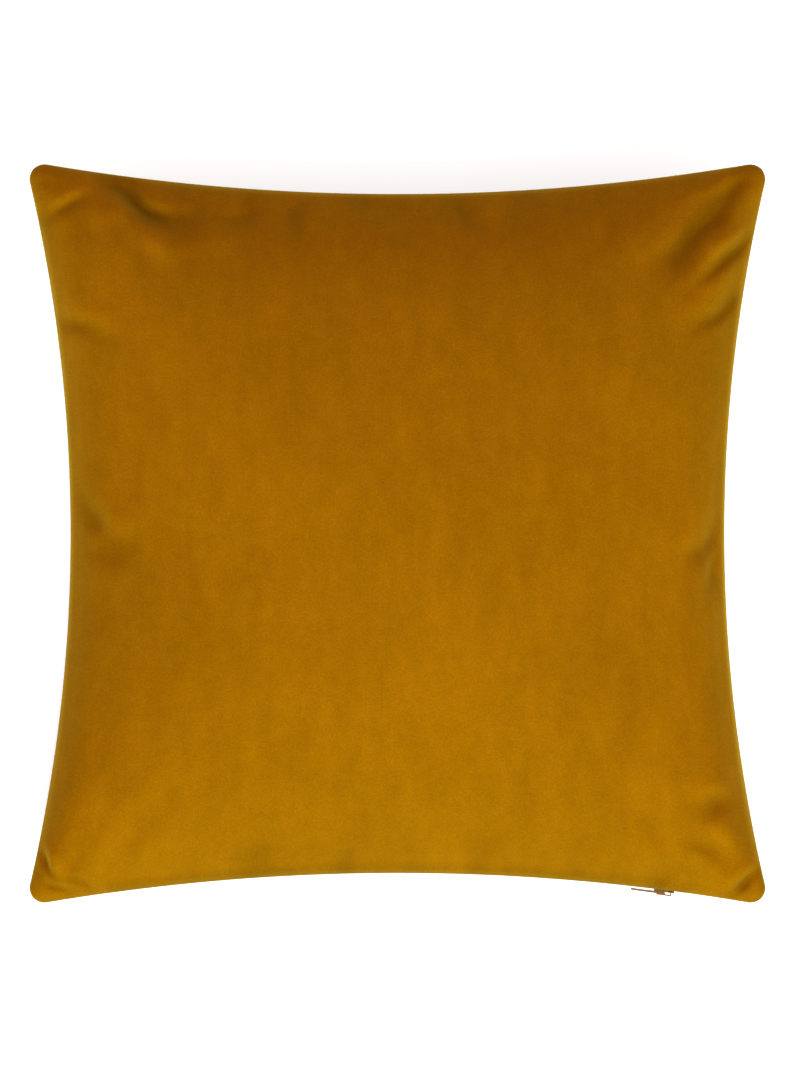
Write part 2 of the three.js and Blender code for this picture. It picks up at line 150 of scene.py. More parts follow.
def flat_patch(across, up):
    """The plan of a panel: a grid stretched between the four seams, for lines from 0 to 1 each way."""
    side, end = quarter_outline()
    right = along_side(side, up, (1, -1))
    top = along_side(end[::-1], across, (-1, 1))
    left = right * (-1, 1)
    bottom = top * (1, -1)
    u = across[None, :, None]
    v = up[:, None, None]
    corner = along_side(side, np.array([1.0]), (1, -1))[0]
    bilinear = np.stack(np.meshgrid((2 * across - 1) * corner[0], (2 * up - 1) * corner[1]), axis=-1)
    between_sides = (1 - u) * left[:, None] + u * right[:, None]
    between_ends = (1 - v) * bottom[None] + v * top[None]
    return between_sides + between_ends - bilinear


# ---- Meshes
def grid_faces(rows, columns):
    """The squares between a grid's points, facing up."""
    index = np.arange(rows * columns).reshape(rows, columns)
    corners = [index[:-1, :-1], index[:-1, 1:], index[1:, 1:], index[1:, :-1]]
    return np.stack(corners, axis=-1).reshape(-1, 4)


def mesh_object(name, points, faces, flat=None):
    """A smooth mesh. flat gives each point its place on the cloth before it was sewn, in metres, as UVs."""
    mesh = bpy.data.meshes.new(name)
    mesh.from_pydata(np.asarray(points).tolist(), [], np.asarray(faces).tolist())
    mesh.polygons.foreach_set("use_smooth", [True] * len(mesh.polygons))
    if flat is not None:
        corner = np.zeros(len(mesh.loops), dtype=int)
        mesh.loops.foreach_get("vertex_index", corner)
        mesh.uv_layers.new(name="cloth").data.foreach_set("uv", np.asarray(flat)[corner].ravel())
    mesh.update()
    piece = bpy.data.objects.new(name, mesh)
    bpy.context.scene.collection.objects.link(piece)
    return piece


# ---- Cloth
def blow_up(name, cloth):
    """Draws a flat square panel's edge in to the seam, fills it with air, and gives what that adds to the
    flat patch at each grid point."""
    even = np.linspace(0, 1, SIM_LINES)
    seam = flat_patch(even, even)
    cut = np.stack(np.meshgrid(even - 0.5, even - 0.5), axis=-1) * SEWN_SIDE
    inside = 1 - np.abs(2 * even - 1) ** 4
    start = START_BULGE * inside[:, None] * inside[None, :]
    cut_points = np.concatenate([cut, start[..., None]], axis=-1).reshape(-1, 3)
    panel = mesh_object(name, cut_points, grid_faces(SIM_LINES, SIM_LINES))
    panel.shape_key_add(name="flat")
    drawn_in = panel.shape_key_add(name="drawn_in")
    seam_points = np.concatenate([seam, np.zeros((SIM_LINES, SIM_LINES, 1))], axis=-1)
    drawn_in.data.foreach_set("co", seam_points.ravel())
    for when, value in ((1, 0.0), (DRAW_IN_FRAMES, 1.0)):
        drawn_in.value = value
        drawn_in.keyframe_insert("value", frame=when)
    sewn = panel.vertex_groups.new(name="sewn")
    rim = np.ones((SIM_LINES, SIM_LINES), dtype=bool)
    rim[1:-1, 1:-1] = False
    sewn.add(np.flatnonzero(rim).tolist(), 1, "REPLACE")
    add_cloth(panel, cloth)
    for when in range(1, LAST_FRAME + 1):
        bpy.context.scene.frame_set(when)
    settled = panel.evaluated_get(bpy.context.evaluated_depsgraph_get())
    points = np.zeros(cut_points.size)
    settled.data.vertices.foreach_get("co", points)
    bpy.data.objects.remove(panel)
    return without_kink(points.reshape(SIM_LINES, SIM_LINES, 3) - seam_points)


def without_kink(relief):
    """A pinned cloth is stiff at its pins, so its first line in from the seam stands low. This lifts it to a
    fair curve between the seam and the second line."""
    height = relief[..., 2]
    for lines in (height, height.T):
        for first, second in ((1, 2), (-2, -3)):
            lines[first] = np.maximum(lines[first], FIRST_LINE * lines[second])
    return relief


def add_cloth(panel, cloth):
    """Makes a panel cloth that is held at its seam, with air under it."""
    modifier = panel.modifiers.new("Cloth", "CLOTH")
    settings = modifier.settings
    settings.vertex_group_mass = "sewn"
    settings.quality = 5
    settings.mass = 0.3
    settings.tension_stiffness = cloth["tension"]
    settings.compression_stiffness = cloth["compression"]
    settings.shear_stiffness = cloth["shear"]
    settings.bending_stiffness = cloth["bending"]
    settings.air_damping = 5
    settings.use_pressure = True
    settings.uniform_pressure_force = cloth["pressure"]
    settings.effector_weights.gravity = 0
    modifier.collision_settings.use_collision = False
    modifier.point_cache.frame_end = LAST_FRAME


# ---- Panels at full detail
def crowded(count):
    """Mesh lines from 0 to 1, closer together near the edges."""
    even = np.linspace(0, 1, count)
    return even - EDGE_CROWDING * np.sin(2 * math.pi * even) / (2 * math.pi)


def spline_weights(lines):
    """A matrix that takes values on the simulated grid's lines to a smooth curve's values at other lines."""
    place = np.clip(lines, 0, 1) * (SIM_LINES - 1)
    first = np.minimum(place.astype(int), SIM_LINES - 2)
    t = place - first
    parts = (
        (-1, (-t + 2 * t ** 2 - t ** 3) / 2),
        (0, (2 - 5 * t ** 2 + 3 * t ** 3) / 2),
        (1, (t + 4 * t ** 2 - 3 * t ** 3) / 2),
        (2, (t ** 3 - t ** 2) / 2),
    )
    weights = np.zeros((len(lines), SIM_LINES))
    for step, share in parts:
        column = np.clip(first + step, 0, SIM_LINES - 1)
        np.add.at(weights, (np.arange(len(lines)), column), share)
    return weights


def steep_edge(lines):
    """How far the panel has risen from its fold: 0 at the edges, upright there, and soon near 1."""
    depth = np.minimum(lines, 1 - lines) * CORNER_SPAN
    return np.sqrt(1 - np.exp(-depth / EDGE_FADE))


def near_zip(x, y):
    """1 on the zip's lips, fading to 0 past its ends and away from its edge."""
    along = np.clip((ZIP_END - np.abs(x)) / ZIP_FADE + 0.5, 0, 1)
    depth = y + CORNER_SPAN / 2 - END_PULL_IN + x ** 2 / (2 * bow_radius(END_PULL_IN))
    return along * along * (3 - 2 * along) * np.clip(1 - np.abs(depth) / LIP_REACH, 0, 1)


# Soft folds that handling has left: where, the way the fold runs in degrees, its half-length, half-width and
# depth. Each has a low ridge beside it.
FOLD_DEPTH = 1.4
RIDGE_HEIGHT = 0.45        # as a share of the fold's depth
RIDGE_ASIDE = 1.9          # from the fold's line, in half-widths
RIDGE_WIDTH = 1.2
FOLD_WAVER = 0.003
DEEPEST_FOLD = 0.006
ZIP_LIP_SHADE = 0.9           # how much painted shade lies along the zip's lips, as a share of the deepest fold's
FRONT_FOLDS = (
    (-0.153, 0.194, 136, 0.026, 0.0065, 0.0062),    # from the top left corner
    (-0.126, 0.184, 176, 0.020, 0.0075, 0.0022),
    (-0.196, 0.190, 24, 0.020, 0.0055, 0.0018),
    (-0.188, 0.122, -22, 0.018, 0.0055, 0.0022),
    (-0.088, 0.187, 50, 0.010, 0.0080, 0.0020),     # along the top seam
    (-0.058, 0.188, 70, 0.011, 0.0075, 0.0026),
    (-0.020, 0.196, -20, 0.014, 0.0060, 0.0018),
    (0.041, 0.190, -62, 0.014, 0.0070, 0.0024),
    (0.182, 0.186, 46, 0.030, 0.0065, 0.0048),      # from the top right corner
    (0.164, 0.160, 56, 0.018, 0.0075, 0.0026),
    (0.196, 0.164, 41, 0.020, 0.0046, 0.0038),
    (0.189, 0.132, 40, 0.019, 0.0052, 0.0032),
    (-0.176, 0.008, -62, 0.014, 0.0060, 0.0030),    # beside the left seam
    (-0.166, -0.010, 20, 0.016, 0.0065, 0.0016),
    (0.180, -0.004, 55, 0.014, 0.0055, 0.0026),     # beside the right seam
    (0.184, -0.024, 82, 0.014, 0.0045, 0.0018),
    (-0.208, -0.195, -50, 0.008, 0.0034, 0.0036),   # in the bottom corners
    (-0.203, -0.208, -35, 0.012, 0.0026, 0.0018),
    (-0.188, -0.207, -37, 0.009, 0.0028, 0.0016),
    (0.206, -0.207, 38, 0.011, 0.0036, 0.0036),
    (0.186, -0.160, 15, 0.011, 0.0070, 0.0030),
    (0.182, -0.184, -35, 0.018, 0.0060, 0.0018),
    (-0.085, -0.190, 80, 0.014, 0.0080, 0.0018),    # along the zip
    (-0.031, -0.192, 95, 0.012, 0.0075, 0.0015),
    (0.049, -0.187, 88, 0.015, 0.0080, 0.0018),
    (0.156, -0.203, 70, 0.010, 0.0065, 0.0022),
)
BACK_FOLDS = (
    (-0.150, -0.188, 48, 0.030, 0.0065, 0.0040),
    (0.172, 0.176, 44, 0.032, 0.0070, 0.0040),
    (-0.186, 0.120, -70, 0.018, 0.0060, 0.0022),
    (0.176, -0.040, 60, 0.016, 0.0060, 0.0020),
    (0.060, 0.190, 100, 0.016, 0.0080, 0.0018),
    (-0.070, 0.188, 84, 0.014, 0.0080, 0.0016),
)


def waver(x, y):
    """A slow change over the plan, from -1 to 1: a sum of waves that don't line up."""
    first = np.sin(43 * x + 5 * np.sin(23 * y))
    second = np.sin(38 * y + 4 * np.sin(29 * x + 1))
    third = np.sin(71 * (x - y) + 3 * np.sin(19 * x + 2))
    return (first + second + third) / 3


def folds_at(folds, x, y):
    """How much the folds lower a panel at each point. Their lines waver, as creases in cloth do."""
    lowered = np.zeros_like(x)
    x, y = x + FOLD_WAVER * waver(2 * y, 2 * x + 1), y + FOLD_WAVER * waver(2 * x, 2 * y)
    for centre_x, centre_y, heading, half_length, half_width, depth in folds:
        turn = math.radians(heading)
        along = (x - centre_x) * math.cos(turn) + (y - centre_y) * math.sin(turn)
        aside = (y - centre_y) * math.cos(turn) - (x - centre_x) * math.sin(turn)
        reach = np.exp(-(along / half_length) ** 2)
        valley = np.exp(-(aside / half_width) ** 2)
        ridge = np.exp(-((aside / half_width - RIDGE_ASIDE) / RIDGE_WIDTH) ** 2)
        lowered += FOLD_DEPTH * depth * reach * (valley - RIDGE_HEIGHT * ridge)
    return lowered


def within_seam(place, aside, moved, pull_in):
    """Limits a move along one axis of the plan, so that a point never passes outside the seam."""
    bow = bow_radius(pull_in)
    edge = CORNER_SPAN / 2 - pull_in + bow - np.sqrt(bow ** 2 - aside ** 2)
    room = np.maximum(edge - np.abs(place), 1e-6)
    outward = moved * np.sign(place)
    limited = room * (1 - np.exp(-np.maximum(outward, 0) / room))
    return place + np.where(outward > 0, limited, outward) * np.sign(place)


def panel_grid(relief, lines, share=1.0):
    """Points of a panel as (rows, columns, 3), heights from the seam plane. share below 1 gives the part of
    the panel inside that share of its plan."""
    within = 0.5 + (lines - 0.5) * share
    weights = spline_weights(within)
    plan = flat_patch(within, within)
    added = np.einsum("ri,cj,ijk->rck", weights, weights, relief) * (SIDEWAYS, SIDEWAYS, 1)
    x, y = plan[..., 0], plan[..., 1]
    moved_x = within_seam(x, y, added[..., 0], SIDE_PULL_IN)
    moved_y = within_seam(y, x, added[..., 1], END_PULL_IN)
    return np.stack([moved_x, moved_y, added[..., 2]], axis=-1)


def cover_heights(points, lines, front):
    """Swells a panel's heights to its crown and gives it its steep edge and its folds."""
    crown, folds = (FRONT_CROWN, FRONT_FOLDS) if front else (BACK_CROWN, BACK_FOLDS)
    x, y = points[..., 0], points[..., 1]
    swell = np.maximum(points[..., 2] / points[..., 2].max(), 0) ** FULLNESS
    edge = steep_edge(lines)[:, None] * steep_edge(lines)[None, :]
    lip = SEAM_LIP + (ZIP_LIP - SEAM_LIP) * near_zip(x, y)
    lump = LUMP * waver(1.5 * x, 1.5 * y + crown) * edge * (1 - swell)
    rise = swell * (crown - EDGE_RISE - SEAM_LIP) + edge * EDGE_RISE
    return rise + lip + lump - folds_at(folds, x, y) * edge


def above_floor(z):
    """Flattens what would pass below the floor, with a soft turn at the patch's edge."""
    return (z + np.sqrt(z ** 2 + FLOOR_BLEND ** 2)) / 2


def perimeter(count):
    """A grid's outer points in order, from its lowest corner round to it again."""
    index = np.arange(count * count).reshape(count, count)
    return np.concatenate([index[0, :-1], index[:-1, -1], index[-1, :0:-1], index[:0:-1, 0]])


def inward_normals(loop):
    """The direction into the cushion at each point of a closed loop in plan that runs anticlockwise."""
    tangent = np.roll(loop, -1, axis=0) - np.roll(loop, 1, axis=0)
    tangent /= np.linalg.norm(tangent, axis=1)[:, None]
    return np.column_stack([-tangent[:, 1], tangent[:, 0]])


def folded_edge(rim):
    """Rings of points that turn a panel's rim under and into the seam, or round to the zip's tape."""
    inward = inward_normals(rim[:, :2])
    zip_share = near_zip(rim[:, 0], rim[:, 1])[:, None]
    rings = []
    for (seam_in, seam_high), (zip_in, zip_high) in zip(SEAM_FOLD, ZIP_FOLD):
        deep = seam_in + (zip_in - seam_in) * zip_share
        high = seam_high + (zip_high - seam_high) * zip_share
        rings.append(np.hstack([rim[:, :2] + inward * deep, high]))
    return rings


def ring_faces(first, second):
    """The squares between two closed rings of the same number of points."""
    return np.column_stack([first, second, np.roll(second, -1), np.roll(first, -1)])


def with_folded_edge(points, flat):
    """A panel's grid with its folded edge: all its points, their flat places, and the faces."""
    count = len(points)
    loop = perimeter(count)
    points = points.reshape(-1, 3)
    flat = flat.reshape(-1, 2)
    rim = points[loop]
    faces = [grid_faces(count, count)]
    spread = inward_normals(flat[loop])
    last = loop
    for ring in folded_edge(rim):
        start = len(points)
        deep = np.linalg.norm(ring - rim, axis=1)[:, None]
        points = np.vstack([points, ring])
        flat = np.vstack([flat, flat[loop] - spread * deep])
        ring_index = np.arange(start, start + len(ring))
        faces.append(ring_faces(last, ring_index))
        last = ring_index
    return points, flat, np.vstack(faces)


def turned_out(piece, front):
    """Makes a back panel's faces look out, as a front panel's do."""
    if not front:
        piece.data.flip_normals()


def flat_places(lines, side):
    """Where a panel's grid points were on the flat cloth, from its middle."""
    return np.stack(np.meshgrid(lines - 0.5, lines - 0.5), axis=-1) * side


def placed(points, front):
    """Heights from the seam plane become heights from the floor."""
    z = SEAM_Z + points[..., 2] if front else above_floor(SEAM_Z - points[..., 2])
    return np.concatenate([points[..., :2], z[..., None]], axis=-1)


def thickened(piece, thickness):
    """Gives a sheet its thickness on its inner side."""
    solid = piece.modifiers.new("thickness", "SOLIDIFY")
    solid.thickness = thickness
    solid.offset = -1


def cover_panel(name, relief, front):
    lines = crowded(COVER_LINES)
    points = panel_grid(relief, lines)
    points[..., 2] = cover_heights(points, lines, front)
    points, flat, faces = with_folded_edge(points, flat_places(lines, SEWN_SIDE))
    panel = mesh_object(name, placed(points, front), faces, flat)
    x, y = points[:, 0], points[:, 1]
    # Painted shade: how much darker the velvet is painted in its folds and along the zip's lips, and a little
    # lighter on the ridges beside the folds.
    fold_shade = folds_at(FRONT_FOLDS if front else BACK_FOLDS, x, y) / DEEPEST_FOLD + ZIP_LIP_SHADE * near_zip(x, y)
    panel.data.attributes.new("fold_shade", "FLOAT", "POINT").data.foreach_set("value", fold_shade)
    turned_out(panel, front)
    thickened(panel, VELVET)
    return panel


def pad_grid(relief, inset, drop, front, lumps=0.0):
    """A panel of the pad: the cover's own shape, brought in by inset at the seam and drop over the crown."""
    lines = crowded(PAD_LINES)
    share = 1 - 2 * inset / CORNER_SPAN
    points = panel_grid(relief, lines, share)
    height = cover_heights(points, 0.5 + (lines - 0.5) * share, front)
    fade = 1 - np.abs(2 * lines - 1) ** PAD_SEAM_POWER
    shaped = (height - drop - lumps) * fade[:, None] * fade[None, :]
    points[..., 2] = np.maximum(shaped, 0) + SEAM_GAP
    return placed(points, front)


def casing_panel(name, relief, front):
    points = pad_grid(relief, PAD_INSET, PAD_DROP, front)
    flat = flat_places(crowded(PAD_LINES), CASING_SIDE)
    panel = mesh_object(name, points.reshape(-1, 3), grid_faces(PAD_LINES, PAD_LINES), flat.reshape(-1, 2))
    turned_out(panel, front)
    thickened(panel, CASING)
    return panel


def clumps():
    """How far clumps of fibre stand in from the casing: a sum of waves that don't line up, never negative."""
    lines = crowded(PAD_LINES)
    u, v = np.meshgrid(lines, lines)
    first = np.sin(37 * u + 5 * np.sin(9 * v))
    second = np.sin(31 * v + 6 * np.sin(11 * u))
    third = np.sin(53 * (u - v) + 2)
    return FIBRE_CLUMP * (3 + first + second + third)


def fibre_fill(front_relief, back_relief):
    """One closed body of fibre inside the casing, clumped as it comes from the bag."""
    inset = PAD_INSET + FILL_INSET
    drop = PAD_DROP + CASING + FILL_CLEARANCE
    top = pad_grid(front_relief, inset, drop, True, clumps())
    under = pad_grid(back_relief, inset, drop, False, clumps().T)
    count = PAD_LINES ** 2
    loop = perimeter(PAD_LINES)
    faces = grid_faces(PAD_LINES, PAD_LINES)
    sides = ring_faces(loop, loop + count)
    points = np.vstack([top.reshape(-1, 3), under.reshape(-1, 3)])
    return mesh_object("fibre_fill", points, np.vstack([faces, faces[:, ::-1] + count, sides]))


# ---- Zip, threads and labels
SEAM_LINES = 401           # an odd number, so that one line meets the middle of the zip edge
STITCH_LENGTH = 0.0028
STITCH_RISE = 0.00015      # how far the thread goes over and under the seam plane
STITCH_PHASE = 0.6
STITCH_PAST_ZIP = 0.004    # the seam's stitches start this far past the zip's ends
THREAD_RADIUS = 0.0002
COVER_SEAM_INSET = 0.0043
PAD_SEAM_INSET = PAD_INSET + 0.0048
COIL_PITCH = 0.00135
COIL_WIRE = 0.00028
COIL_DEPTH = 0.0069        # from the zip edge's arc in to the coil's middle
COIL_FLATTENED = 0.9       # the coil's width as a share of its height
COIL_POINTS = 10           # to a turn
WELD_DISTANCE = 0.000002
COVER_LABEL_FLAT = (0.030, 0.036)
PAD_LABEL_FLAT = (0.024, 0.0225)


def seam_loop(inset, spacing):
    """Points along the seam at an even spacing, moved in by inset, from the middle of the zip edge."""
    lines = np.linspace(0, 1, SEAM_LINES)
    plan = flat_patch(lines, lines).reshape(-1, 2)
    loop = plan[perimeter(SEAM_LINES)]
    loop = loop + inward_normals(loop) * inset
    loop = np.roll(loop, -(SEAM_LINES // 2), axis=0)
    loop = np.vstack([loop, loop[:1]])
    length = np.concatenate([[0], np.cumsum(np.linalg.norm(np.diff(loop, axis=0), axis=1))])
    place = np.linspace(0, length[-1], int(length[-1] / spacing))
    return np.column_stack([np.interp(place, length, loop[:, i]) for i in range(2)])


def strand(name, points, radius, closed=False):
    """A round thread through the points."""
    data = bpy.data.curves.new(name, "CURVE")
    data.dimensions = "3D"
    data.bevel_depth = radius
    data.bevel_resolution = 2
    spline = data.splines.new("POLY")
    spline.points.add(len(points) - 1)
    spline.points.foreach_set("co", np.hstack([points, np.ones((len(points), 1))]).ravel())
    spline.use_cyclic_u = closed
    piece = bpy.data.objects.new(name, data)
    bpy.context.scene.collection.objects.link(piece)
    return piece


def lockstitch(name, inset, zip_gap):
    """The sewn line just inside a seam: a thread that goes over and under at each stitch."""
    loop = seam_loop(inset, STITCH_LENGTH / 4)
    if zip_gap:
        loop = loop[(np.abs(loop[:, 0]) > ZIP_END + STITCH_PAST_ZIP) | (loop[:, 1] > 0)]
    else:
        loop = loop[:-1]
    wave = STITCH_RISE * np.sin(np.arange(len(loop)) * math.pi / 2 + STITCH_PHASE)
    points = np.column_stack([loop, SEAM_Z + wave])
    return strand(name, points, THREAD_RADIUS, closed=not zip_gap)


def coil(name, node, up):
    """One side of the zip: nylon wire wound along the arc of the zip's edge, inside the CAD coil's bar."""
    low, high = span(node)
    bow = bow_radius(END_PULL_IN)
    centre_y = -(CORNER_SPAN / 2 - END_PULL_IN + bow)
    reach = bow + COIL_DEPTH
    start = math.asin(low[0] / reach)
    end = math.asin(high[0] / reach)
    turns = (end - start) * reach / COIL_PITCH
    angle = np.linspace(start, end, int(turns * COIL_POINTS))
    wound = np.linspace(0, 2 * math.pi * turns, len(angle))
    radius = (high[2] - low[2]) / 2 - COIL_WIRE
    out = reach + radius * COIL_FLATTENED * np.cos(wound)
    middle = (low[2] + high[2]) / 2
    points = np.column_stack(
        [out * np.sin(angle), centre_y + out * np.cos(angle), middle + up * radius * np.sin(wound)]
    )
    return strand(name, points, COIL_WIRE)


def welded(piece):
    """Joins a CAD mesh's faces, which come apart at their corners, so that a bevel finds its edges."""
    piece.modifiers.new("weld", "WELD").merge_threshold = WELD_DISTANCE


def softened(name, node, edge, levels):
    """A piece of cloth on its CAD node's own shape, with its edges rounded and its faces made smooth."""
    piece = bpy.data.objects.new(name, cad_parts[node].data.copy())
    piece.data.materials.clear()
    bpy.context.scene.collection.objects.link(piece)
    welded(piece)
    bevel = piece.modifiers.new("edges", "BEVEL")
    bevel.width = edge
    bevel.segments = 2
    smooth = piece.modifiers.new("smooth", "SUBSURF")
    smooth.subdivision_type = "SIMPLE"
    smooth.levels = levels
    smooth.render_levels = levels
    return piece


def cast(node, edge, material):
    """A metal CAD node, kept as it is, with its edges broken."""
    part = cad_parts[node]
    welded(part)
    bevel = part.modifiers.new("edges", "BEVEL")
    bevel.width = edge
    bevel.segments = 3
    bevel.harden_normals = True
    part.data.materials.clear()
    part.data.materials.append(material)


# ---- Materials
def new_material(name):
    material = bpy.data.materials.new(name)
    material.use_nodes = True
    return material, material.node_tree.nodes["Principled BSDF"]


def add(material, kind, inputs=(), **settings):
    """A node with its settings made and its inputs set, or linked where a socket is given."""
    tree = material.node_tree
    node = tree.nodes.new(kind)
    for name, value in settings.items():
        setattr(node, name, value)
    for name, value in dict(inputs).items():
        if isinstance(value, bpy.types.NodeSocket):
            tree.links.new(value, node.inputs[name])
        else:
            node.inputs[name].default_value = value
    return node


def link(material, source, target):
    material.node_tree.links.new(source, target)


def places(material, uv=None, stretch=(1, 1, 1)):
    """Texture coordinates in metres: the cloth's own flat ones where it has them, or the object's."""
    if uv:
        source = add(material, "ShaderNodeUVMap", uv_map=uv).outputs["UV"]
    else:
        source = add(material, "ShaderNodeTexCoord").outputs["Object"]
    return add(material, "ShaderNodeMapping", {"Vector": source, "Scale": stretch}).outputs["Vector"]


def cloud(material, vector, scale, detail=3.0, roughness=0.5, distortion=0.0):
    """Noise from 0 to 1, scale to the metre."""
    inputs = {"Vector": vector, "Scale": scale, "Detail": detail, "Roughness": roughness}
    inputs["Distortion"] = distortion
    return add(material, "ShaderNodeTexNoise", inputs).outputs["Fac"]


def ribs(material, vector, spacing, direction, distortion=1.0):
    """Fine parallel lines, spacing apart. At a scale of 1 the texture's own lines are pi / 10 apart."""
    scale = math.pi / 10 / spacing
    inputs = {"Vector": vector, "Scale": scale, "Distortion": distortion, "Detail": 2.0}
    return add(material, "ShaderNodeTexWave", inputs, bands_direction=direction).outputs["Fac"]


def ranged(material, value, low, high, to_low=0.0, to_high=1.0):
    inputs = {"Value": value, "From Min": low, "From Max": high, "To Min": to_low, "To Max": to_high}
    return add(material, "ShaderNodeMapRange", inputs).outputs["Result"]


def maths(material, operation, a, b):
    node = add(material, "ShaderNodeMath", operation=operation)
    for socket, value in zip(node.inputs, (a, b)):
        if isinstance(value, bpy.types.NodeSocket):
            link(material, value, socket)
        else:
            socket.default_value = value
    return node.outputs[0]


def blended(material, share, a, b, blend="MIX"):
    """One colour mixed with another."""
    node = add(material, "ShaderNodeMix", data_type="RGBA", blend_type=blend)
    for socket, value in zip((node.inputs[0], node.inputs[6], node.inputs[7]), (share, a, b)):
        if isinstance(value, bpy.types.NodeSocket):
            link(material, value, socket)
        else:
            socket.default_value = value
    return node.outputs[2]


def coloured(material, shader, share, a, b):
    """The surface's own colour, mixed from two."""
    link(material, blended(material, share, a, b), shader.inputs["Base Color"])


def bumped(material, shader, height, distance, strength=1.0):
    bump = add(material, "ShaderNodeBump", {"Height": height, "Distance": distance, "Strength": strength})
    link(material, bump.outputs["Normal"], shader.inputs["Normal"])


def slope_painted_light(material):
    """The velvet's colour, with painted light and shade: slopes that face the zip edge are painted lighter
    and yellower, and slopes that face away darker and redder, as if lit from that side."""
    facing = add(material, "ShaderNodeTexCoord").outputs["Normal"]
    inputs = {0: facing, 1: (0.10, -1.0, 0.0)}
    towards_lit_side = add(material, "ShaderNodeVectorMath", inputs, operation="DOT_PRODUCT")
    lean = ranged(material, towards_lit_side.outputs["Value"], -0.6, 0.6)
    return blended(material, lean, (0.139, 0.0420, 0.0004, 1), (0.186, 0.0780, 0.0004, 1))


def handling_marks_and_fold_shade(material, flat):
    """How light the velvet is: faint marks that handling has left, painted shade in its folds and along the
    zip's lips, and a faint painted highlight on the ridges beside the folds.
    """
    hand = cloud(material, flat, 9, detail=5, roughness=0.55, distortion=0.8)
    stroked = cloud(material, places(material, "cloth", (1, 0.4, 1)), 60, detail=6, roughness=0.65)
    blotches = cloud(material, flat, 130, detail=5, roughness=0.7, distortion=0.5)
    fold_shade = add(material, "ShaderNodeAttribute", attribute_name="fold_shade").outputs["Fac"]
    light = ranged(material, hand, 0.3, 0.7, 0.91, 1.08)
    for mark in (ranged(material, stroked, 0.3, 0.7, 0.91, 1.08),
                 ranged(material, blotches, 0.3, 0.7, 0.93, 1.06),
                 # Painted shade in the folds and on the zip's lips, and painted highlight on the ridges
                 # beside the folds.
                 ranged(material, fold_shade, -0.2, 1.0, 1.04, 0.66)):
        light = maths(material, "MULTIPLY", light, mark)
    return light


def velvet():
    """Mustard velvet, with a fine weave under its pile."""
    material, shader = new_material("mustard_velvet")
    flat = places(material, "cloth")
    weave = ribs(material, flat, 0.0013, "Y", distortion=2.5)
    fine = cloud(material, flat, 800, detail=4, roughness=0.8)
    woven = maths(material, "MULTIPLY", ranged(material, fine, 0.25, 0.75, 0.74, 1.26),
                  ranged(material, weave, 0, 1, 0.985, 1.015))
    level = maths(material, "MULTIPLY", handling_marks_and_fold_shade(material, flat), woven)
    shade = add(material, "ShaderNodeCombineColor", {"Red": level, "Green": level, "Blue": level})
    # Painted light and shade: the colour painted by slope, times the painted fold shade, handling marks and
    # the weave.
    colour = blended(material, 1.0, slope_painted_light(material), shade.outputs["Color"], "MULTIPLY")
    link(material, colour, shader.inputs["Base Color"])
    shader.inputs["Roughness"].default_value = 0.85
    shader.inputs["Specular IOR Level"].default_value = 0.0
    shader.inputs["Sheen Weight"].default_value = 0.48
    shader.inputs["Sheen Roughness"].default_value = 0.38
    shader.inputs["Sheen Tint"].default_value = (0.44, 0.34, 0.030, 1)
    tufts = maths(material, "MULTIPLY", cloud(material, flat, 1900, detail=3, roughness=0.65), 0.6)
    relief = maths(material, "ADD", tufts, maths(material, "MULTIPLY", weave, 0.08))
    bumped(material, shader, relief, 0.00035, 0.55)
    return material


def plain_weave(name, colour, spacing, bump, roughness=0.8, uv=None):
    """A woven cloth of crossing yarns, slightly uneven in tone."""
    material, shader = new_material(name)
    flat = places(material, uv)
    warp = ribs(material, flat, spacing, "X")
    weft = ribs(material, flat, spacing, "Y")
    crossing = maths(material, "MULTIPLY", warp, weft)
    uneven = cloud(material, flat, 160, detail=4)
    dark = tuple(c * 0.72 for c in colour) + (1,)
    share = ranged(material, maths(material, "ADD", crossing, uneven), 0.25, 1.25)
    coloured(material, shader, share, dark, colour + (1,))
    shader.inputs["Roughness"].default_value = roughness
    shader.inputs["Specular IOR Level"].default_value = 0.2
    shader.inputs["Sheen Weight"].default_value = 0.2
    shader.inputs["Sheen Tint"].default_value = colour + (1,)
    bumped(material, shader, crossing, bump)
    return material


def twisted_thread():
    material, shader = new_material("twisted_thread")
    place = places(material, stretch=(1, 1, 1.6))
    ply = ribs(material, place, 0.0006, "DIAGONAL", distortion=0.6)
    coloured(material, shader, ply, (0.16, 0.055, 0.002, 1), (0.36, 0.15, 0.012, 1))
    shader.inputs["Roughness"].default_value = 0.5
    bumped(material, shader, ply, 0.00008)
    return material


def nylon():
    """The zip's dyed nylon wire."""
    material, shader = new_material("zip_nylon")
    uneven = cloud(material, places(material), 700, detail=3)
    coloured(material, shader, uneven, (0.20, 0.075, 0.004, 1), (0.30, 0.12, 0.010, 1))
    shader.inputs["Roughness"].default_value = 0.32
    shader.inputs["Specular IOR Level"].default_value = 0.25
    shader.inputs["Specular Tint"].default_value = (1.0, 0.7, 0.25, 1)
    bumped(material, shader, uneven, 0.00003)
    return material


def lacquered_zinc():
    """Cast zinc, lacquered to match the velvet, with a slight orange peel and patches dulled by handling."""
    material, shader = new_material("lacquered_zinc")
    place = places(material)
    peel = cloud(material, place, 1800, detail=2)
    worn = cloud(material, place, 350, detail=4)
    coloured(material, shader, worn, (0.096, 0.036, 0.001, 1), (0.140, 0.056, 0.002, 1))
    link(material, ranged(material, worn, 0.3, 0.7, 0.30, 0.48), shader.inputs["Roughness"])
    shader.inputs["Specular IOR Level"].default_value = 0.22
    shader.inputs["Specular Tint"].default_value = (1.0, 0.7, 0.25, 1)
    bumped(material, shader, peel, 0.00002)
    return material


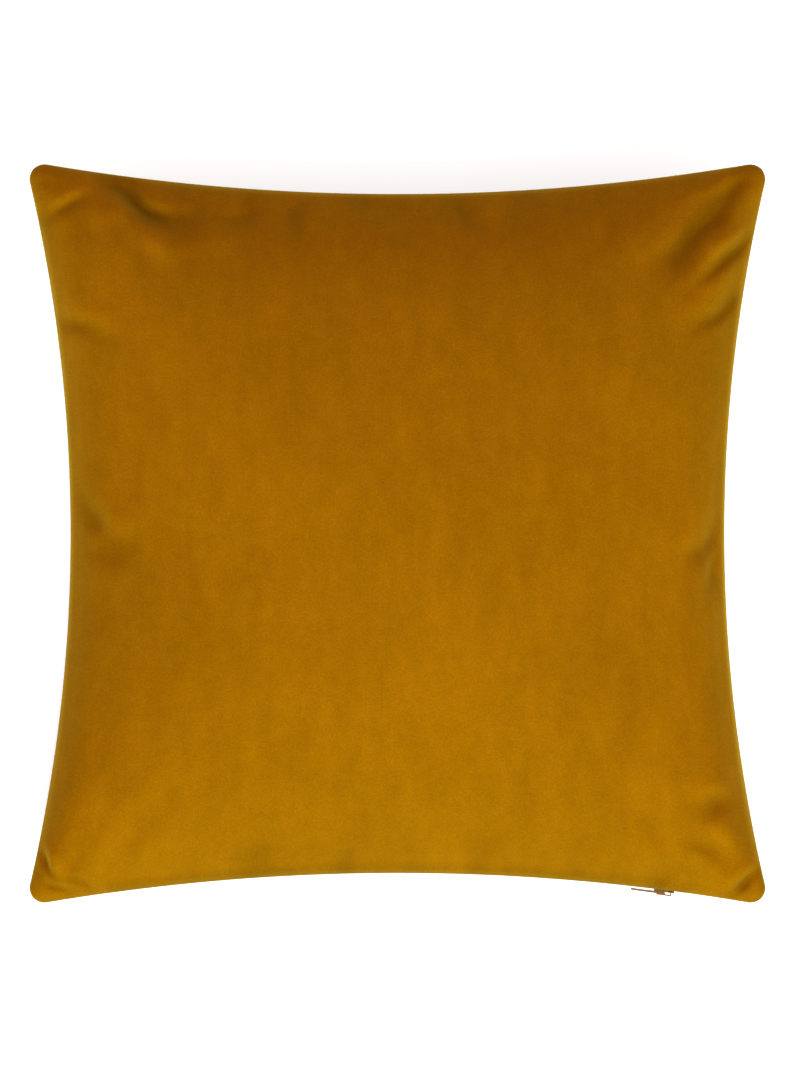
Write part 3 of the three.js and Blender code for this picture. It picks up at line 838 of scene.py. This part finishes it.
def fibre():
    """White polyester fibre in loose curls."""
    material, shader = new_material("polyester_fibre")
    place = places(material)
    curls = cloud(material, place, 240, detail=8, roughness=0.7, distortion=2.5)
    coloured(material, shader, curls, (0.70, 0.69, 0.66, 1), (0.92, 0.92, 0.90, 1))
    shader.inputs["Roughness"].default_value = 0.95
    shader.inputs["Sheen Weight"].default_value = 0.4
    bumped(material, shader, curls, 0.0015)
    return material


def floor_paint():
    material, shader = new_material("pale_floor")
    mottle = cloud(material, places(material), 6, detail=5)
    coloured(material, shader, mottle, (0.93, 0.93, 0.93, 1), (0.96, 0.96, 0.96, 1))
    shader.inputs["Roughness"].default_value = 0.9
    shader.inputs["Specular IOR Level"].default_value = 0.1
    return material


# ---- Putting it together
def finished(piece, material, node):
    """Gives a piece its material, hangs it on the cushion's body and hides the CAD node that it stands for.
    The slider and pull are CAD nodes, so every piece made here rides on the cushion."""
    piece.data.materials.append(material)
    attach(piece, "cushion")
    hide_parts(node)
    return piece


def build_cover(front_relief, back_relief):
    cloth = velvet()
    front = cover_panel("velvet_front", front_relief, True)
    back = cover_panel("velvet_back", back_relief, False)
    for panel, node in ((front, "cover_front"), (back, "cover_back")):
        finished(panel, cloth, node)


def build_pad(front_relief, back_relief):
    fill = finished(fibre_fill(front_relief, back_relief), fibre(), "pad_fibre_fill")
    cotton = plain_weave("pad_cotton", (0.82, 0.81, 0.77), 0.0007, 0.0001, uv="cloth")
    for name, relief, front in (("casing_front", front_relief, True), ("casing_back", back_relief, False)):
        panel = casing_panel(name, relief, front)
        finished(panel, cotton, "pad_" + name)


def build_threads():
    thread = twisted_thread()
    round_cover = lockstitch("cover_stitches", COVER_SEAM_INSET, True)
    finished(round_cover, thread, "cover_seam_thread")
    white = plain_weave("pad_cotton_thread", (0.80, 0.79, 0.75), 0.0003, 0.00005)
    finished(lockstitch("pad_stitches", PAD_SEAM_INSET, False), white, "pad_seam_thread")
    for side in ("front", "back"):
        node = "zip_stitching_" + side
        finished(softened("zip_stitches_" + side, node, 0.0001, 1), thread, node)


def build_zip():
    tape = plain_weave("zip_tape_weave", (0.34, 0.13, 0.008), 0.0006, 0.00012)
    wire = nylon()
    metal = lacquered_zinc()
    for side, up in (("front", 1), ("back", -1)):
        node = "zip_tape_" + side
        ribbon = finished(softened("zip_ribbon_" + side, node, 0.00015, 1), tape, node)
        finished(coil("zip_wire_" + side, "zip_coil_" + side, up), wire, "zip_coil_" + side)
        cast("zip_top_stop_" + side, 0.0002, metal)
    cast("zip_bottom_stop", 0.0003, metal)
    cast("zip_slider", 0.0002, metal)
    cast("zip_pull", 0.0002, metal)


def build_labels():
    satin = plain_weave("label_satin", (0.84, 0.83, 0.80), 0.0005, 0.00006, roughness=0.4)
    for name, flat, panel in (("cover_care_label", COVER_LABEL_FLAT, "velvet_back"),
                              ("pad_care_label", PAD_LABEL_FLAT, "casing_back")):
        label = finished(softened("blank_" + name, name, 0.0001, 2), satin, name)


# ---- Stage
FLOOR_SIZE = 20.0          # half its side
FLOOR_DROP = 0.0002        # below the cushion, so that the two never share a face
CAMERA_LENS = 85
CAMERA_SENSOR = 36
VIEW_HEIGHT = 0.637        # what the frame's height takes in, at the seam
VIEW_ASIDE = 0.0015        # the camera stands a little right of the pillow's middle


def soft_light(name, place, aim, size, power):
    data = bpy.data.lights.new(name, "AREA")
    data.shape = "DISK"
    data.size = size
    data.energy = power
    light = bpy.data.objects.new(name, data)
    light.location = place
    direction = np.array(aim) - np.array(place)
    tilt = math.acos(-direction[2] / np.linalg.norm(direction))
    light.rotation_euler = (tilt, 0, math.atan2(direction[0], -direction[1]) + math.pi)
    bpy.context.scene.collection.objects.link(light)


def build_stage():
    corners = ((-1, -1), (1, -1), (1, 1), (-1, 1))
    points = [(x * FLOOR_SIZE, y * FLOOR_SIZE, -FLOOR_DROP) for x, y in corners]
    floor = mesh_object("floor", points, [(0, 1, 2, 3)])
    floor.data.materials.append(floor_paint())
    world = bpy.data.worlds.new("studio")
    world.use_nodes = True
    background = world.node_tree.nodes["Background"]
    background.inputs["Color"].default_value = (1, 1, 1, 1)
    background.inputs["Strength"].default_value = 0.85
    bpy.context.scene.world = world
    soft_light("key", (0.25, -1.05, 1.85), (0, 0, 0.05), 0.9, 56)
    soft_light("top", (-0.5, 0.6, 2.2), (0, 0, 0.05), 1.6, 26)


def build_camera():
    data = bpy.data.cameras.new("camera")
    data.lens = CAMERA_LENS
    data.sensor_width = CAMERA_SENSOR
    camera = bpy.data.objects.new("camera", data)
    camera.location = (VIEW_ASIDE, 0, SEAM_Z + VIEW_HEIGHT * CAMERA_LENS / CAMERA_SENSOR)
    bpy.context.scene.collection.objects.link(camera)
    bpy.context.scene.camera = camera


inflate = blow_up
front_relief = inflate("front_sim", FRONT_CLOTH)
back_relief = inflate("back_sim", BACK_CLOTH)
build_cover(front_relief, back_relief)
build_pad(front_relief, back_relief)
build_threads()
build_zip()
build_labels()
build_stage()
build_camera()
bpy.context.scene.view_settings.view_transform = "Standard"
